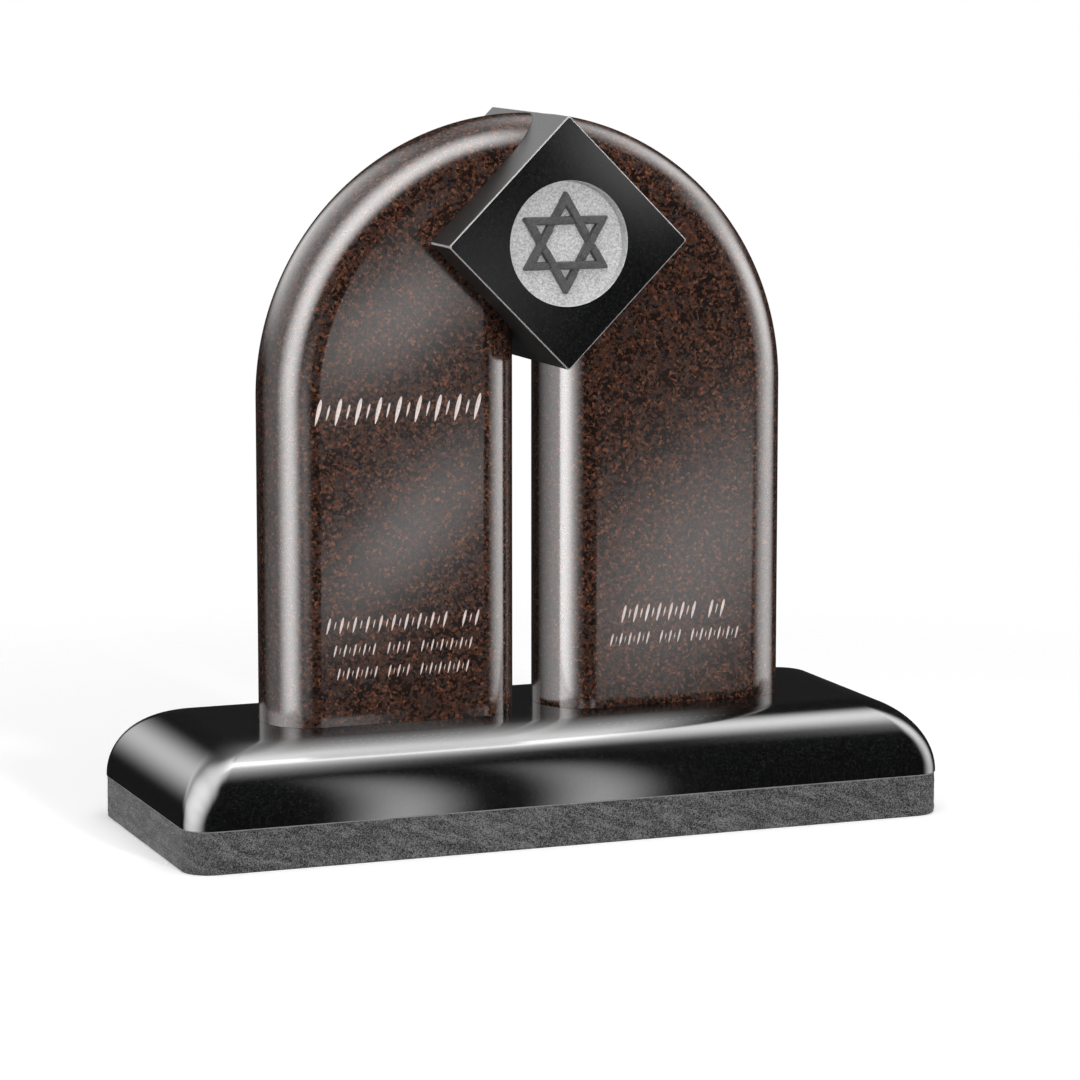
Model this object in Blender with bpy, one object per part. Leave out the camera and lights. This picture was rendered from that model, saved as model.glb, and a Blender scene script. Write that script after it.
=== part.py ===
"""A double headstone in granite.

Two tablets, each half of one round arch, stand side by side on a shared base with a narrow gap between them.
A square block set on its corner passes through both tablets near the top. It stands proud of them front and
back, and a round recess in its front holds a raised six-pointed star of interlaced bands.

X runs along the base, Y from front to back and Z up, from the middle of the base's underside.
"""

import math

import bmesh
import bpy
from mathutils import Matrix

# Driving sizes, in metres.
BASE_LENGTH = 1.524
BASE_DEPTH = 0.610
BASE_HEIGHT = 0.2175
BASE_CORNER_RADIUS = 0.055
BAND_HEIGHT = 0.082  # the rough band along the foot of the base
TOP_ROUNDING = 0.133  # how far the polished top draws in from the sides
TOP_CORNER_RADIUS = 0.045  # plan radius at the corners of the flat top

PAIR_WIDTH = 1.055  # both tablets and the gap, which is also the arch's diameter
TABLET_HEIGHT = 1.140
TABLET_THICKNESS = 0.203
TABLET_GAP = 0.055
NOSE_DEPTH = 0.088  # how far the full-round edges reach past the flat faces

BLOCK_SIDE = 0.337
BLOCK_PROUD = 0.1015  # beyond the tablets' faces, front and back
BLOCK_OFFSET = 0.018  # the block's centre, to the right of the gap's centre
BLOCK_RISE = 0.003  # the block's top corner above the arch's crown
BLOCK_ARRIS = 0.003  # the narrow flat along every edge

RECESS_RADIUS = 0.117
RECESS_DEPTH = 0.024
STAR_RADIUS = 0.0985  # from the centre to a tip
STAR_BAND = 0.0142
STAR_HEIGHT = 0.013
STAR_DIP = 0.004  # how far a band sinks where it passes under another
STAR_DIP_SLOPE = 0.003

STROKE_DEPTH = 0.0025
STROKE_LEAN = math.radians(14)
STROKE_SLENDERNESS = 0.17  # a stroke's width over its height
SHORT_STROKE = 0.55  # a short stroke, as a share of the row's height
GROUP_GAP = 2  # the room between two groups, counted in strokes

JOINT = 0.0003  # the open joint between stones that touch

# Rows of strokes on a tablet: height of the row's foot above the tablet's foot, height and width of the
# row, and shift from the tablet's middle. The counts say how many strokes stand in each group.
LEFT_ROWS = (
    (0.569, 0.052, 0.335, -0.008),
    (0.176, 0.032, 0.309, 0.0),
    (0.132, 0.024, 0.280, 0.0),
    (0.088, 0.024, 0.266, 0.0),
)
LEFT_COUNTS = ((17,), (19, 3), (9, 5, 11), (9, 5, 11))
RIGHT_ROWS = (
    (0.162, 0.036, 0.218, -0.003),
    (0.118, 0.026, 0.271, 0.0),
)
RIGHT_COUNTS = ((13, 3), (9, 5, 11))

# How finely curves are divided.
CORNER_STEPS = 8
ROUNDING_STEPS = 10
ARCH_STEPS = 30
NOSE_STEPS = 14
RECESS_STEPS = 64

# Sizes that follow from them.
ARCH_RADIUS = PAIR_WIDTH / 2
FOOT_Z = BASE_HEIGHT + JOINT
CROWN_Z = FOOT_Z + TABLET_HEIGHT
SPRING_Z = CROWN_Z - ARCH_RADIUS
BLOCK_THICKNESS = TABLET_THICKNESS + 2 * BLOCK_PROUD
BLOCK_Z = CROWN_Z + BLOCK_RISE - BLOCK_SIDE / math.sqrt(2)
BLOCK_FRONT = -BLOCK_THICKNESS / 2


def clear_scene():
    for item in list(bpy.data.objects):
        bpy.data.objects.remove(item, do_unlink=True)


def stone(name, colour, roughness):
    """A polished or sawn granite as a plain Principled material."""
    material = bpy.data.materials.new(name)
    material.use_nodes = True
    shader = material.node_tree.nodes["Principled BSDF"]
    shader.inputs["Base Color"].default_value = (*colour, 1.0)
    shader.inputs["Roughness"].default_value = roughness
    shader.inputs["Metallic"].default_value = 0.0
    return material


def add_object(name, mesh, material=None, smooth_below=None):
    item = bpy.data.objects.new(name, mesh)
    bpy.context.scene.collection.objects.link(item)
    if material:
        mesh.materials.append(material)
    if smooth_below:
        mesh.shade_smooth()
        mesh.set_sharp_from_angle(angle=math.radians(smooth_below))
    return item


def mesh_from(name, vertices, faces):
    """A mesh with all its faces turned outwards."""
    mesh = bpy.data.meshes.new(name)
    mesh.from_pydata(vertices, [], faces)
    shape = bmesh.new()
    shape.from_mesh(mesh)
    bmesh.ops.recalc_face_normals(shape, faces=shape.faces)
    shape.to_mesh(mesh)
    shape.free()
    return mesh


def loft(name, rings, closed=False):
    """A solid through rings of equal length, with flat ends, or closed round on itself."""
    count = len(rings[0])
    vertices = [point for ring in rings for point in ring]
    faces = []
    for level in range(len(rings) if closed else len(rings) - 1):
        low = level * count
        high = (level + 1) % len(rings) * count
        for i in range(count):
            j = (i + 1) % count
            faces.append((low + i, low + j, high + j, high + i))
    if not closed:
        faces += [tuple(range(count)), tuple(range(len(vertices) - count, len(vertices)))]
    return mesh_from(name, vertices, faces)


def cutter(name, mesh):
    """A shape that only cuts or joins another one, so it is not a piece itself."""
    item = add_object(name, mesh)
    item.hide_render = True
    item.display_type = "WIRE"
    return item


def combine(item, operand, operation):
    change = item.modifiers.new(f"{operation.lower()} {operand.name}", "BOOLEAN")
    change.operation = operation
    change.solver = "EXACT"
    change.object = operand


def plan_ring(inset, radius, z):
    """The base's plan drawn in by inset: a rectangle with round corners, at height z."""
    half_x = BASE_LENGTH / 2 - inset
    half_y = BASE_DEPTH / 2 - inset
    radius = min(radius, half_x, half_y)
    ring = []
    for corner, (sign_x, sign_y) in enumerate(((1, 1), (-1, 1), (-1, -1), (1, -1))):
        for step in range(CORNER_STEPS + 1):
            turn = math.pi / 2 * (corner + step / CORNER_STEPS)
            x = sign_x * (half_x - radius) + radius * math.cos(turn)
            y = sign_y * (half_y - radius) + radius * math.sin(turn)
            ring.append((x, y, z))
    return ring


def build_base(material):
    """An upright band with a quarter-round polished top above it, all one stone."""
    rings = [plan_ring(0, BASE_CORNER_RADIUS, 0), plan_ring(0, BASE_CORNER_RADIUS, BAND_HEIGHT)]
    for step in range(1, ROUNDING_STEPS + 1):
        turn = math.pi / 2 * step / ROUNDING_STEPS
        draw_in = 1 - math.cos(turn)
        radius = BASE_CORNER_RADIUS + (TOP_CORNER_RADIUS - BASE_CORNER_RADIUS) * draw_in
        z = BAND_HEIGHT + (BASE_HEIGHT - BAND_HEIGHT) * math.sin(turn)
        rings.append(plan_ring(TOP_ROUNDING * draw_in, radius, z))
    return add_object("base", loft("base", rings), material, smooth_below=35)


def tablet_ring(side, inset, y):
    """A tablet's outline drawn in by inset at depth y, from its outer foot over the arch to its inner foot.
    The arch runs on over the block's top corner, where the notch then cuts it."""
    block_x = side * BLOCK_OFFSET
    radius = ARCH_RADIUS - inset
    end = math.acos(block_x / radius)
    points = [(radius, FOOT_Z)]
    for step in range(ARCH_STEPS + 1):
        turn = end * step / ARCH_STEPS
        points.append((radius * math.cos(turn), SPRING_Z + radius * math.sin(turn)))
    inner = TABLET_GAP / 2 + inset
    points += [(block_x, BLOCK_Z), (inner, BLOCK_Z), (inner, FOOT_Z)]
    return [(side * x, y, z) for x, z in points]


def stroke_outline(x, z, height):
    """A leaning stroke with pointed ends, as a six-sided outline about its middle."""
    half = height / 2
    shoulder = half / 3
    side = height * STROKE_SLENDERNESS / 2
    right = [(0, half), (side, shoulder), (side, -shoulder)]
    shape = right + [(-a, -b) for a, b in right]
    lean = math.tan(STROKE_LEAN)
    return [(x + a + b * lean, z + b) for a, b in shape]


def row_strokes(row, counts, middle):
    """The outlines of one row's strokes, evenly spaced on one middle line, a full and a short one by turns
    in each group."""
    foot, height, width, shift = row
    pitch = width / (sum(counts) + GROUP_GAP * (len(counts) - 1))
    x = middle + shift - width / 2 + pitch / 2
    z = FOOT_Z + foot + height / 2
    outlines = []
    for count in counts:
        for place in range(count):
            tall = height * SHORT_STROKE if place % 2 else height
            outlines.append(stroke_outline(x, z, tall))
            x += pitch
        x += pitch * GROUP_GAP
    return outlines


def stroke_cutter(name, rows, counts, middle):
    """Every stroke of a tablet as a separate shallow prism through its front face."""
    face = -TABLET_THICKNESS / 2
    vertices = []
    faces = []
    for row, groups in zip(rows, counts):
        for outline in row_strokes(row, groups, middle):
            first = len(vertices)
            count = len(outline)
            vertices += [(x, face - STROKE_DEPTH, z) for x, z in outline]
            vertices += [(x, face + STROKE_DEPTH, z) for x, z in outline]
            faces.append(tuple(range(first, first + count)))
            faces.append(tuple(range(first + count, first + 2 * count)))
            for i in range(count):
                j = (i + 1) % count
                faces.append((first + i, first + j, first + count + j, first + count + i))
    return cutter(name, mesh_from(name, vertices, faces))


def build_tablet(name, side, rows, counts, notch, material):
    """Half an arch with a full-round edge all the way round, notched for the block."""
    rings = []
    for step in range(NOSE_STEPS + 1):
        turn = math.pi * (step / NOSE_STEPS - 0.5)
        inset = NOSE_DEPTH * (1 - math.cos(turn))
        rings.append(tablet_ring(side, inset, TABLET_THICKNESS / 2 * math.sin(turn)))
    tablet = add_object(name, loft(name, rings), material, smooth_below=35)
    middle = side * (ARCH_RADIUS + TABLET_GAP / 2) / 2
    combine(tablet, notch, "DIFFERENCE")
    combine(tablet, stroke_cutter(f"{name}_strokes", rows, counts, middle), "DIFFERENCE")
    return tablet


def square_prism(name, side, thickness):
    """A square bar along Y."""
    shape = bmesh.new()
    bmesh.ops.create_cube(shape, size=1, matrix=Matrix.Diagonal((side, thickness, side, 1)))
    mesh = bpy.data.meshes.new(name)
    shape.to_mesh(mesh)
    shape.free()
    return mesh


def on_corner(item):
    """Puts a bar through the tablets at the block's place, turned onto its corner."""
    item.location = (BLOCK_OFFSET, 0, BLOCK_Z)
    item.rotation_euler = (0, math.radians(45), 0)


def recess_cutter():
    """A short cylinder that sinks the recess into the block's front."""
    shape = bmesh.new()
    bmesh.ops.create_cone(
        shape,
        cap_ends=True,
        segments=RECESS_STEPS,
        radius1=RECESS_RADIUS,
        radius2=RECESS_RADIUS,
        depth=2 * RECESS_DEPTH,
        matrix=Matrix.Rotation(math.radians(90), 4, "X"),
    )
    mesh = bpy.data.meshes.new("recess")
    shape.to_mesh(mesh)
    shape.free()
    item = cutter("recess", mesh)
    item.location = (BLOCK_OFFSET, BLOCK_FRONT, BLOCK_Z)
    return item


def star_frame_mesh():
    """One triangle of the star as a band of even width, mitred at its corners. Each side sinks where the
    other triangle's band passes over it, so two such frames look interlaced."""
    outer = STAR_RADIUS / 2
    inner = outer - STAR_BAND
    crossing = (outer - STAR_BAND / 2) * math.tan(math.radians(30))
    low_half = STAR_BAND / 2 * (1 / math.sin(math.radians(60)) + 1 / math.tan(math.radians(60)))
    dip = STAR_HEIGHT - STAR_DIP
    stations = [
        (-outer * math.sqrt(3), -inner * math.sqrt(3), STAR_HEIGHT),
        (-crossing - low_half - STAR_DIP_SLOPE, None, STAR_HEIGHT),
        (-crossing - low_half, None, dip),
        (-crossing + low_half, None, dip),
        (-crossing + low_half + STAR_DIP_SLOPE, None, STAR_HEIGHT),
    ]
    floor = BLOCK_FRONT + RECESS_DEPTH
    root = floor + STAR_HEIGHT
    rings = []
    for side in range(3):
        turn = math.radians(90 + 120 * side)
        across, up = math.cos(turn), math.sin(turn)
        for at_outer, at_inner, height in stations:
            at_inner = at_outer if at_inner is None else at_inner
            ring = []
            for along, out, y in ((at_outer, outer, floor - height), (at_inner, inner, floor - height),
                                  (at_inner, inner, root), (at_outer, outer, root)):
                ring.append((out * across - along * up, y, out * up + along * across))
            rings.append(ring)
    return loft("star_frame", rings, closed=True)


def build_block(material):
    """The square block on its corner, with narrow arrises, the recess and the star."""
    prism = square_prism("medallion_block", BLOCK_SIDE, BLOCK_THICKNESS)
    block = add_object("medallion_block", prism, material)
    on_corner(block)
    arris = block.modifiers.new("arris", "BEVEL")
    arris.width = BLOCK_ARRIS
    arris.segments = 1
    arris.limit_method = "NONE"
    combine(block, recess_cutter(), "DIFFERENCE")
    frame = star_frame_mesh()
    for name, turn in (("star_down", 0), ("star_up", 60)):
        triangle = cutter(name, frame)
        triangle.location = (BLOCK_OFFSET, 0, BLOCK_Z)
        triangle.rotation_euler = (0, math.radians(turn), 0)
        combine(block, triangle, "UNION")
    return block


def build():
    clear_scene()
    black = stone("black granite", (0.012, 0.014, 0.014), 0.08)
    mahogany = stone("mahogany granite", (0.070, 0.036, 0.028), 0.12)
    build_base(black)
    notch = cutter("notch", square_prism("notch", BLOCK_SIDE + 2 * JOINT, 2 * BLOCK_THICKNESS))
    on_corner(notch)
    build_tablet("left_tablet", -1, LEFT_ROWS, LEFT_COUNTS, notch, mahogany)
    build_tablet("right_tablet", 1, RIGHT_ROWS, RIGHT_COUNTS, notch, mahogany)
    build_block(black)


build()
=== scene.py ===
"""The double granite headstone, dressed for a studio picture.

Fine surfaces, worked out with numpy, take the place of the four stones: a polished base with a rough band
round its foot, two mahogany tablets with full-round edges and carved strokes, and the black block with its
sunk medallion and interlaced star. X runs along the base, Y from front to back and Z up, in metres.
"""

import math

import bpy
import numpy as np
from mathutils import Matrix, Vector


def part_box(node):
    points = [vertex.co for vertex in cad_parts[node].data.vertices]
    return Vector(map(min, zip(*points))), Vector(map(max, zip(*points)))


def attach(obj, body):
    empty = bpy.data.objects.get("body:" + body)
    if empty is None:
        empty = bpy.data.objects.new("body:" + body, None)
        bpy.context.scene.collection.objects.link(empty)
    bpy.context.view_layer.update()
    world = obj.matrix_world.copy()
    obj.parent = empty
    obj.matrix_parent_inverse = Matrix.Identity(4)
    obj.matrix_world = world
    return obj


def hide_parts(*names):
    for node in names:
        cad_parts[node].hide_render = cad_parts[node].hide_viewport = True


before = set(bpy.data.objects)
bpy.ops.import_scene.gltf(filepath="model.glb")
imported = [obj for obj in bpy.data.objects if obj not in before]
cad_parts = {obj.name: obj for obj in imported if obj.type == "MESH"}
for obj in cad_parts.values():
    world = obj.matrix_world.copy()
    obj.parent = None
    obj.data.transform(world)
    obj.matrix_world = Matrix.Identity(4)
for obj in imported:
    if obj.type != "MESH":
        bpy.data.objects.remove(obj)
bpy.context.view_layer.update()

# The picture is taken from the front, 21 degrees round to the left and 8.5 degrees up.
VIEW_YAW = math.radians(21.035)
VIEW_PITCH = math.radians(8.525)
VIEW_DISTANCE = 8.108
VIEW_TARGET = (0.0377, 0.0, 0.5349)
FOCAL_LENGTH = 140.03  # millimetres
SENSOR_WIDTH = 36  # millimetres
FARTHEST_SEEN = 200

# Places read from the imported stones.
_, BASE_HIGH = (np.array(corner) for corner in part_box("base"))
TABLET_LOW, TABLET_HIGH = (np.array(corner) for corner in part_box("right_tablet"))
BLOCK_LOW, BLOCK_HIGH = (np.array(corner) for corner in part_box("medallion_block"))

BAND_HEIGHT = 0.082  # the rough band along the foot of the base
BAND_FOOT = 0.002  # where the band starts, above the drawn-in edge of the underside
FOOT_INSET = 0.003
CORNER_RADIUS = 0.055
TOP_ROUNDING = 0.133  # how far the polished top draws in from the sides
TOP_CORNER_RADIUS = 0.045
TOP_MARGIN = 0.004  # from the end of the rounding to the edge of the flat top
BAND_SINK = 0.0007  # the rough band lies this far behind the polished lip
BAND_RELIEF = 0.0011
FOOT_SHARE, LIP_SHARE = 0.4, 0.5  # shares of the relief at the band's lower and upper end
LIP_HEIGHT = 0.0026  # the pale lip between the band and the polish
LIP_EDGE = 0.0004  # from the lip's last ring to the polish
LIP_BLUR = 0.0006  # how far the pale line fades, up and down
STREAK_SLANT = math.radians(20)  # on the front the saw's marks fall this much towards the right
STREAK_STRETCH = 3  # and they are this many times as long as they are high
STREAK_CELL, CHIP_CELL, PIT_CELL = 0.009, 0.006, 0.0035  # sizes of the band's bumps
STREAK_SHARE, CHIP_SHARE, PIT_SHARE = 0.40, 0.30, 0.30  # and their parts in its relief
BAND_RINGS = 27
ROUNDING_RINGS = 26

FOOT_Z = TABLET_LOW[2]
ARCH_RADIUS = TABLET_HIGH[0]
SPRING_Z = TABLET_HIGH[2] - ARCH_RADIUS
HALF_GAP = 0.0275
FACE_Y = TABLET_LOW[1]
NOSE_DEPTH = 0.088  # how far the full-round edges reach past the flat faces
FACE_MARGIN = 0.001
NOSE_RINGS = 61
OUTER_POINTS, ARCH_POINTS, INNER_POINTS = 24, 181, 30  # points along a tablet's outline

BLOCK_SIDE = 0.337
BLOCK_X = (BLOCK_LOW[0] + BLOCK_HIGH[0]) / 2
BLOCK_Z = (BLOCK_LOW[2] + BLOCK_HIGH[2]) / 2
BLOCK_Y = BLOCK_HIGH[1]
BLOCK_REACH = BLOCK_HIGH[0] - BLOCK_X  # to the narrow flats on its corners
JOINT = 0.0003
ARRIS = 0.0022

RECESS_RADIUS = 0.117
RECESS_DEPTH = 0.024
RECESS_FOOT = 0.0015  # radius of the hollow where the wall meets the floor
RECESS_RIM = 0.0012  # depth of the worn edge where the wall meets the front
RIM_STEP = 0.0009  # and its width
WALL_START = 0.003  # from the floor to the wall's first ring
FIRST_REACH = 0.0015  # radius of the innermost ring of the floor
FLOOR_RELIEF = 0.0006
FLOOR_CELL, FLOOR_FINE_CELL = 0.0042, 0.0024  # sizes of the pecked floor's bumps
FLOOR_EVEN = 0.004  # the relief dies out over this distance from the wall
FLOOR_SHARE = 0.6  # the part of each sort of bump in the floor's relief
FLOOR_RINGS, FOOT_RINGS, WALL_RINGS, FRONT_RINGS = 78, 4, 6, 6
BLOCK_COLUMNS = 480

STAR_RADIUS = 0.0985
STAR_BAND = 0.0142
STAR_HEIGHT = 0.013
STAR_DIP = 0.0045
STAR_EDGE = 0.0028  # radius of the star's worn upper edges
STAR_FLARE = 0.0004  # how much wider the bands are at the floor, on each side
STAR_SUNK = 0.0008  # how far their feet reach into the floor
STAR_SLOPE = 0.006  # the distance over which a band sinks
TIP_INNER, TIP_GAIN = 0.0008, 0.0022  # radius of a tip on the band's inside, and its gain to the outside

# Rows of strokes, as on the solids: foot above the tablet's foot, height, width and shift.
LEFT_ROWS = (
    (0.569, 0.052, 0.335, -0.008),
    (0.176, 0.032, 0.309, 0.0),
    (0.132, 0.024, 0.280, 0.0),
    (0.088, 0.024, 0.266, 0.0),
)
LEFT_COUNTS = ((17,), (19, 3), (9, 5, 11), (9, 5, 11))
RIGHT_ROWS = (
    (0.162, 0.036, 0.218, -0.003),
    (0.118, 0.026, 0.271, 0.0),
)
RIGHT_COUNTS = ((13, 3), (9, 5, 11))
STROKE_DEPTH = 0.0025
STROKE_LEAN = math.radians(14)
STROKE_SLENDERNESS = 0.17
STROKE_FULLNESS = 1.15
STROKE_KEEL = 0.45  # depth of a narrow stroke over its width
STROKE_SWELL = 0.22  # how much a stroke widens towards its head
STROKE_PROUD = 0.0006  # the cutter starts this far before the face
STROKE_STEPS = 9
SHORT_STROKE = 0.55
GROUP_GAP = 2  # room between two groups, counted in strokes


# Mesh tools.


def make_mesh(name, points, quads, polygons=(), slots=None):
    """A mesh from an array of points, an array of four-sided faces and lists of many-sided ones. slots gives
    each face's material number."""
    sizes = np.array([4] * len(quads) + [len(face) for face in polygons])
    corners = np.concatenate([np.asarray(quads).ravel()] + [np.asarray(face) for face in polygons])
    mesh = bpy.data.meshes.new(name)
    mesh.vertices.add(len(points))
    mesh.vertices.foreach_set("co", np.asarray(points, dtype=np.float32).ravel())
    mesh.loops.add(len(corners))
    mesh.loops.foreach_set("vertex_index", corners.astype(np.int32))
    mesh.polygons.add(len(sizes))
    mesh.polygons.foreach_set("loop_start", (np.cumsum(sizes) - sizes).astype(np.int32))
    if slots is not None:
        mesh.polygons.foreach_set("material_index", np.asarray(slots, dtype=np.int32))
    mesh.update(calc_edges=True)
    mesh.validate()
    return mesh


def add_piece(name, mesh, materials, sharp=30):
    """An object for a mesh, shaded smooth but for edges that turn by more than the given angle."""
    piece = bpy.data.objects.new(name, mesh)
    bpy.context.scene.collection.objects.link(piece)
    for material in materials:
        mesh.materials.append(material)
    mesh.shade_smooth()
    mesh.set_sharp_from_angle(angle=math.radians(sharp))
    return piece


def grid_quads(rows, columns, wrap=False):
    """The four-sided faces between neighbouring rings of a grid whose columns close round. With wrap, the
    last ring joins the first."""
    row = np.arange(rows if wrap else rows - 1)[:, None]
    column = np.arange(columns)[None, :]
    here = row * columns
    above = (row + 1) % rows * columns
    beside = (column + 1) % columns
    return np.stack([here + column, here + beside, above + beside, above + column], axis=-1).reshape(-1, 4)


def ease(x):
    """A smooth step from 0 to 1."""
    x = np.clip(x, 0, 1)
    return x * x * (3 - 2 * x)


def bumps(u, v, cell, seed):
    """Smooth random heights from -1 to 1: random numbers on a square lattice of the given cell, blended
    between its corners by a smooth step."""
    size = 256
    table = np.random.default_rng(seed).uniform(-1, 1, (size, size))
    u = u / cell
    v = v / cell
    i = np.floor(u).astype(int)
    j = np.floor(v).astype(int)
    a = ease(u - i)
    b = ease(v - j)
    near = table[i % size, j % size] * (1 - a) + table[(i + 1) % size, j % size] * a
    far = table[i % size, (j + 1) % size] * (1 - a) + table[(i + 1) % size, (j + 1) % size] * a
    return near * (1 - b) + far * b


# Stones.


def base_columns(corner_steps, long_steps, short_steps):
    """Places round the base's plan: for each column, the corner-centre rectangle's share in X and Y, the
    outward direction's angle and the distance run along the edge."""
    turns = []
    across = []
    deep = []
    for corner, (sign_x, sign_y) in enumerate(((1, 1), (-1, 1), (-1, -1), (1, -1))):
        turns.append(math.pi / 2 * (corner + np.arange(corner_steps) / corner_steps))
        across.append(np.full(corner_steps, sign_x))
        deep.append(np.full(corner_steps, sign_y))
        steps = (long_steps, short_steps)[corner % 2]
        run = 1 - 2 * np.arange(steps) / steps
        turns.append(np.full(steps, math.pi / 2 * (corner + 1)))
        across.append((sign_x * run, np.full(steps, sign_x))[corner % 2])
        deep.append((np.full(steps, sign_y), sign_y * run)[corner % 2])
    turns, across, deep = (np.concatenate(part) for part in (turns, across, deep))
    x = across * (BASE_HIGH[0] - CORNER_RADIUS) + CORNER_RADIUS * np.cos(turns)
    y = deep * (BASE_HIGH[1] - CORNER_RADIUS) + CORNER_RADIUS * np.sin(turns)
    run = np.cumsum(np.hypot(np.diff(x, prepend=x[-1]), np.diff(y, prepend=y[-1])))
    return across, deep, turns, run


def build_base(polished, sawn):
    """The base as rings round its plan, each a rectangle with round corners: corner centre plus radius times
    the outward direction. From the foot up they follow the rough band, sunk and roughened by random heights,
    the lip, and a quarter ellipse that ends level with the flat top."""
    across, deep, turns, run = base_columns(corner_steps=28, long_steps=470, short_steps=168)
    band_z = np.linspace(BAND_FOOT, BAND_HEIGHT - LIP_HEIGHT, BAND_RINGS)
    lip_z = BAND_HEIGHT - np.array([LIP_HEIGHT / 3, LIP_EDGE])
    rounding = np.linspace(0, math.pi / 2, ROUNDING_RINGS)
    top = BASE_HIGH[2]
    rounded_z = BAND_HEIGHT + (top - BAND_HEIGHT) * np.sin(rounding)
    z = np.concatenate([[0], band_z, lip_z, rounded_z, [top]])
    flat = 1 - np.cos(rounding)
    inset = np.concatenate([
        [FOOT_INSET],
        np.full(BAND_RINGS, BAND_SINK),
        [BAND_SINK / 2, 0],
        TOP_ROUNDING * flat,
        [TOP_ROUNDING + TOP_MARGIN],
    ])
    side_rings = 1 + BAND_RINGS + len(lip_z)
    turned_in = np.concatenate([np.zeros(side_rings), flat, [1]])
    radius = CORNER_RADIUS + (TOP_CORNER_RADIUS - CORNER_RADIUS) * turned_in
    polished_rings = ROUNDING_RINGS + 2
    rough = np.concatenate([[FOOT_SHARE], np.ones(BAND_RINGS), [LIP_SHARE], np.zeros(polished_rings)])
    rows = len(z)
    slots = np.repeat(np.arange(rows - 1) < side_rings - 1, len(run))
    distance, height = np.meshgrid(run, z)
    along = distance * math.cos(STREAK_SLANT) - height * math.sin(STREAK_SLANT)
    across_streak = distance * math.sin(STREAK_SLANT) + height * math.cos(STREAK_SLANT)
    streaks = bumps(along / STREAK_STRETCH, across_streak, STREAK_CELL, seed=3)
    chips = bumps(distance, height, CHIP_CELL, seed=4)
    pits = bumps(distance + 5, height, PIT_CELL, seed=5)
    heights = STREAK_SHARE * streaks + (CHIP_SHARE * chips + PIT_SHARE * pits)
    drawn_in = inset[:, None] + rough[:, None] * BAND_RELIEF * np.clip(0.5 + heights, 0, 1)
    half_x = BASE_HIGH[0] - drawn_in - radius[:, None]
    half_y = BASE_HIGH[1] - drawn_in - radius[:, None]
    x = across * half_x + radius[:, None] * np.cos(turns)
    y = deep * half_y + radius[:, None] * np.sin(turns)
    points = np.stack([x, y, height], axis=-1).reshape(-1, 3)
    count = len(run)
    caps = [np.arange(count)[::-1], np.arange((rows - 1) * count, rows * count)]
    mesh = make_mesh("base_stone", points, grid_quads(rows, count), caps, np.concatenate([slots, [1, 0]]))
    return add_piece("base_stone", mesh, [polished, sawn], sharp=40)


def tablet_solid(name, side):
    """Half an arch as rings of its outline from the front face round the full-round edge to the back. At
    turn t the ring is drawn in by the nose's depth times 1 - cos t and lies at half the thickness times
    sin t."""
    turn = np.linspace(-math.pi / 2, math.pi / 2, NOSE_RINGS)
    drawn_in = NOSE_DEPTH * (1 - np.cos(turn))
    face_inset = [NOSE_DEPTH + FACE_MARGIN]
    inset = np.concatenate([face_inset, drawn_in, face_inset])[:, None]
    depth = np.concatenate([[FACE_Y], -FACE_Y * np.sin(turn), [-FACE_Y]])[:, None]
    radius = ARCH_RADIUS - inset
    end = np.arccos(side * BLOCK_X / radius)
    sweep = end * np.linspace(0, 1, ARCH_POINTS)[None, :]
    rise = np.linspace(FOOT_Z, SPRING_Z, OUTER_POINTS, endpoint=False)[None, :]
    fall = np.linspace(BLOCK_Z, FOOT_Z, INNER_POINTS)[None, :]
    inner = HALF_GAP + inset
    x = np.hstack([
        radius + 0 * rise,
        radius * np.cos(sweep),
        side * BLOCK_X + 0 * inset,
        inner + 0 * fall,
    ])
    z = np.hstack([
        rise + 0 * radius,
        SPRING_Z + radius * np.sin(sweep),
        BLOCK_Z + 0 * inset,
        fall + 0 * inset,
    ])
    y = depth + 0 * x
    rows, count = x.shape
    points = np.stack([side * x, y, z], axis=-1).reshape(-1, 3)
    quads = grid_quads(rows, count)
    caps = [np.arange(count)[::-1], np.arange((rows - 1) * count, rows * count)]
    if side > 0:
        quads = quads[:, ::-1]
        caps = [face[::-1] for face in caps]
    return make_mesh(name, points, quads, caps)


def stroke_places(rows, counts, middle):
    """Middle and height of every stroke: a full and a short one by turns in each group."""
    places = []
    for (foot, height, width, shift), groups in zip(rows, counts):
        pitch = width / (sum(groups) + GROUP_GAP * (len(groups) - 1))
        x = middle + shift - width / 2 + pitch / 2
        for group in groups:
            for place in range(group):
                length = height * SHORT_STROKE if place % 2 else height
                places.append((x, FOOT_Z + foot + height / 2, length))
                x += pitch
            x += pitch * GROUP_GAP
    return np.array(places)


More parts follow.
